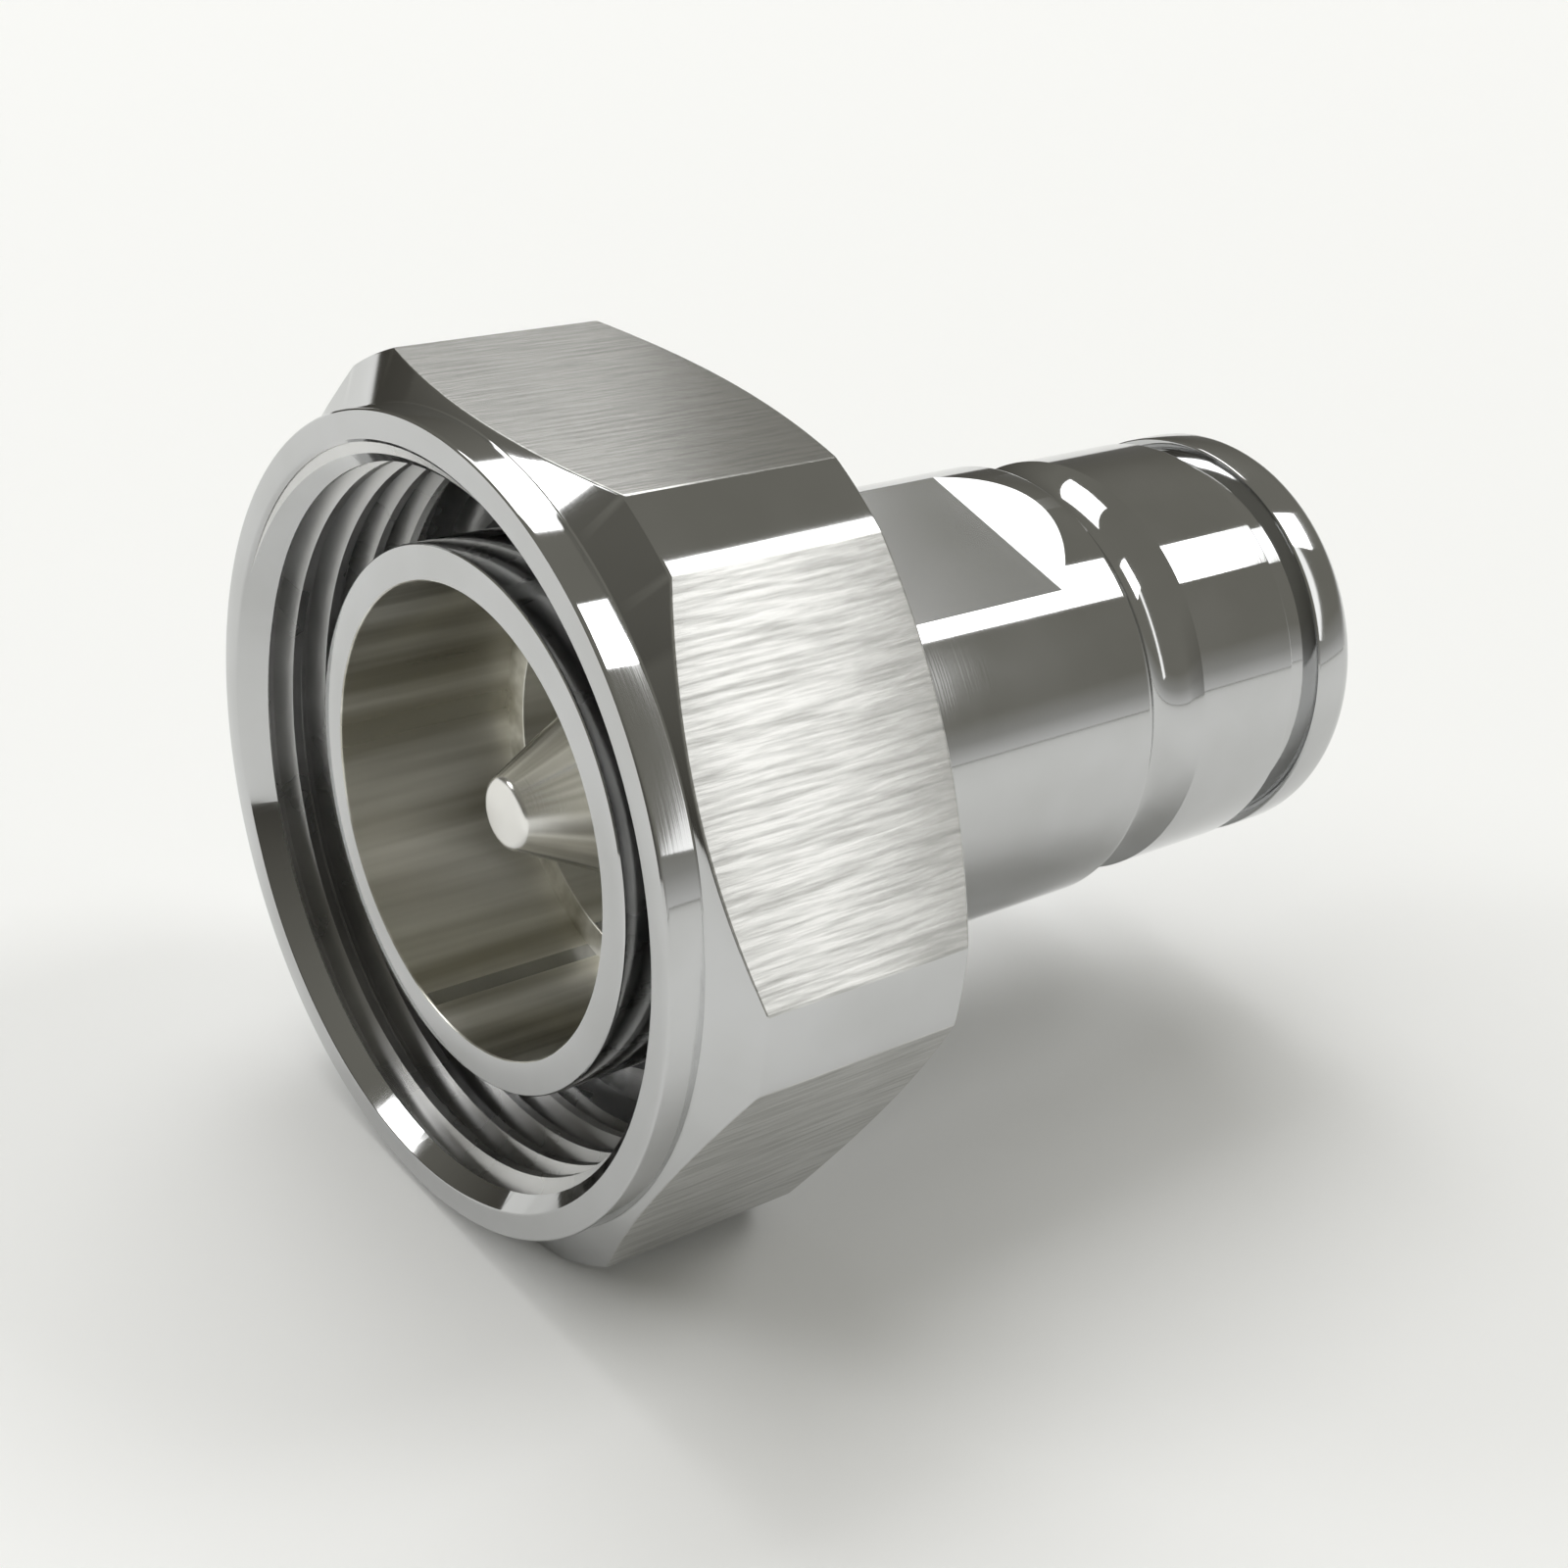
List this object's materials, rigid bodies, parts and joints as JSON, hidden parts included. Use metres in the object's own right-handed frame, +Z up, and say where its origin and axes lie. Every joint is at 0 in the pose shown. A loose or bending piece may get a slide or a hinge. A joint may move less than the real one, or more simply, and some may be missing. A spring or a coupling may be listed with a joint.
{
  "type": "large din coaxial connector",
  "caption": "Large straight coaxial plug with a hexagon screw coupling nut, a tubular outer contact around a tapered centre pin, a body with wrench flats and a screwed cable clamp nut.",
  "frame": {"origin": "centre of the outer contact tube's front face, the plane that meets the jack", "axes": "+X along the axis from the mating end to the cable end, +Z up through the middle of one nut flat"},
  "size_m": [0.0421, 0.0352, 0.032],
  "materials": {
    "nut_plate": "bright plated brass, flats milled with fine lines along the axis",
    "body_plate": "bright plated brass, finely turned",
    "clamp_plate": "bright plated brass, finely turned",
    "pin_plate": "silver-plated brass, satin",
    "washer_plate": "plated brass, satin",
    "spring_steel": "satin spring steel",
    "bare_brass": "plain turned brass, satin",
    "bead_plastic": "matte white fluoroplastic",
    "gasket_rubber": "matte grey silicone rubber",
    "seal_rubber": "matte black rubber"
  },
  "bodies": {
    "connector_body": {"connector_body": "body_plate", "retaining_ring": "spring_steel", "front_gasket": "gasket_rubber", "nut_seal": "seal_rubber", "centre_contact": "pin_plate", "insulator": "bead_plastic", "insulator_bush": "bare_brass", "braid_clamp": "bare_brass", "cable_seal": "seal_rubber"},
    "coupling_nut": {"coupling_nut": "nut_plate"},
    "thrust_washer": {"thrust_washer": "washer_plate"},
    "clamp_nut": {"clamp_nut": "clamp_plate", "clamp_seal": "seal_rubber"}
  },
  "joints": [
    {"name": "coupling_nut_spin", "type": "hinge", "parent": "connector_body", "child": "coupling_nut", "pos_m": [0, 0, 0], "axis": [1, 0, 0], "continuous": true},
    {"name": "clamp_nut_travel", "type": "slide", "parent": "connector_body", "child": "thrust_washer", "axis": [1, 0, 0], "range_m": [0, 0.005]},
    {"name": "clamp_nut_turn", "type": "hinge", "parent": "thrust_washer", "child": "clamp_nut", "pos_m": [0.022, 0, 0], "axis": [1, 0, 0], "range_deg": [0, 1800]}
  ],
  "couplings": [
    {"joint": "clamp_nut_travel", "follows": "clamp_nut_turn", "m_per_rad": 0.00015915}
  ]
}
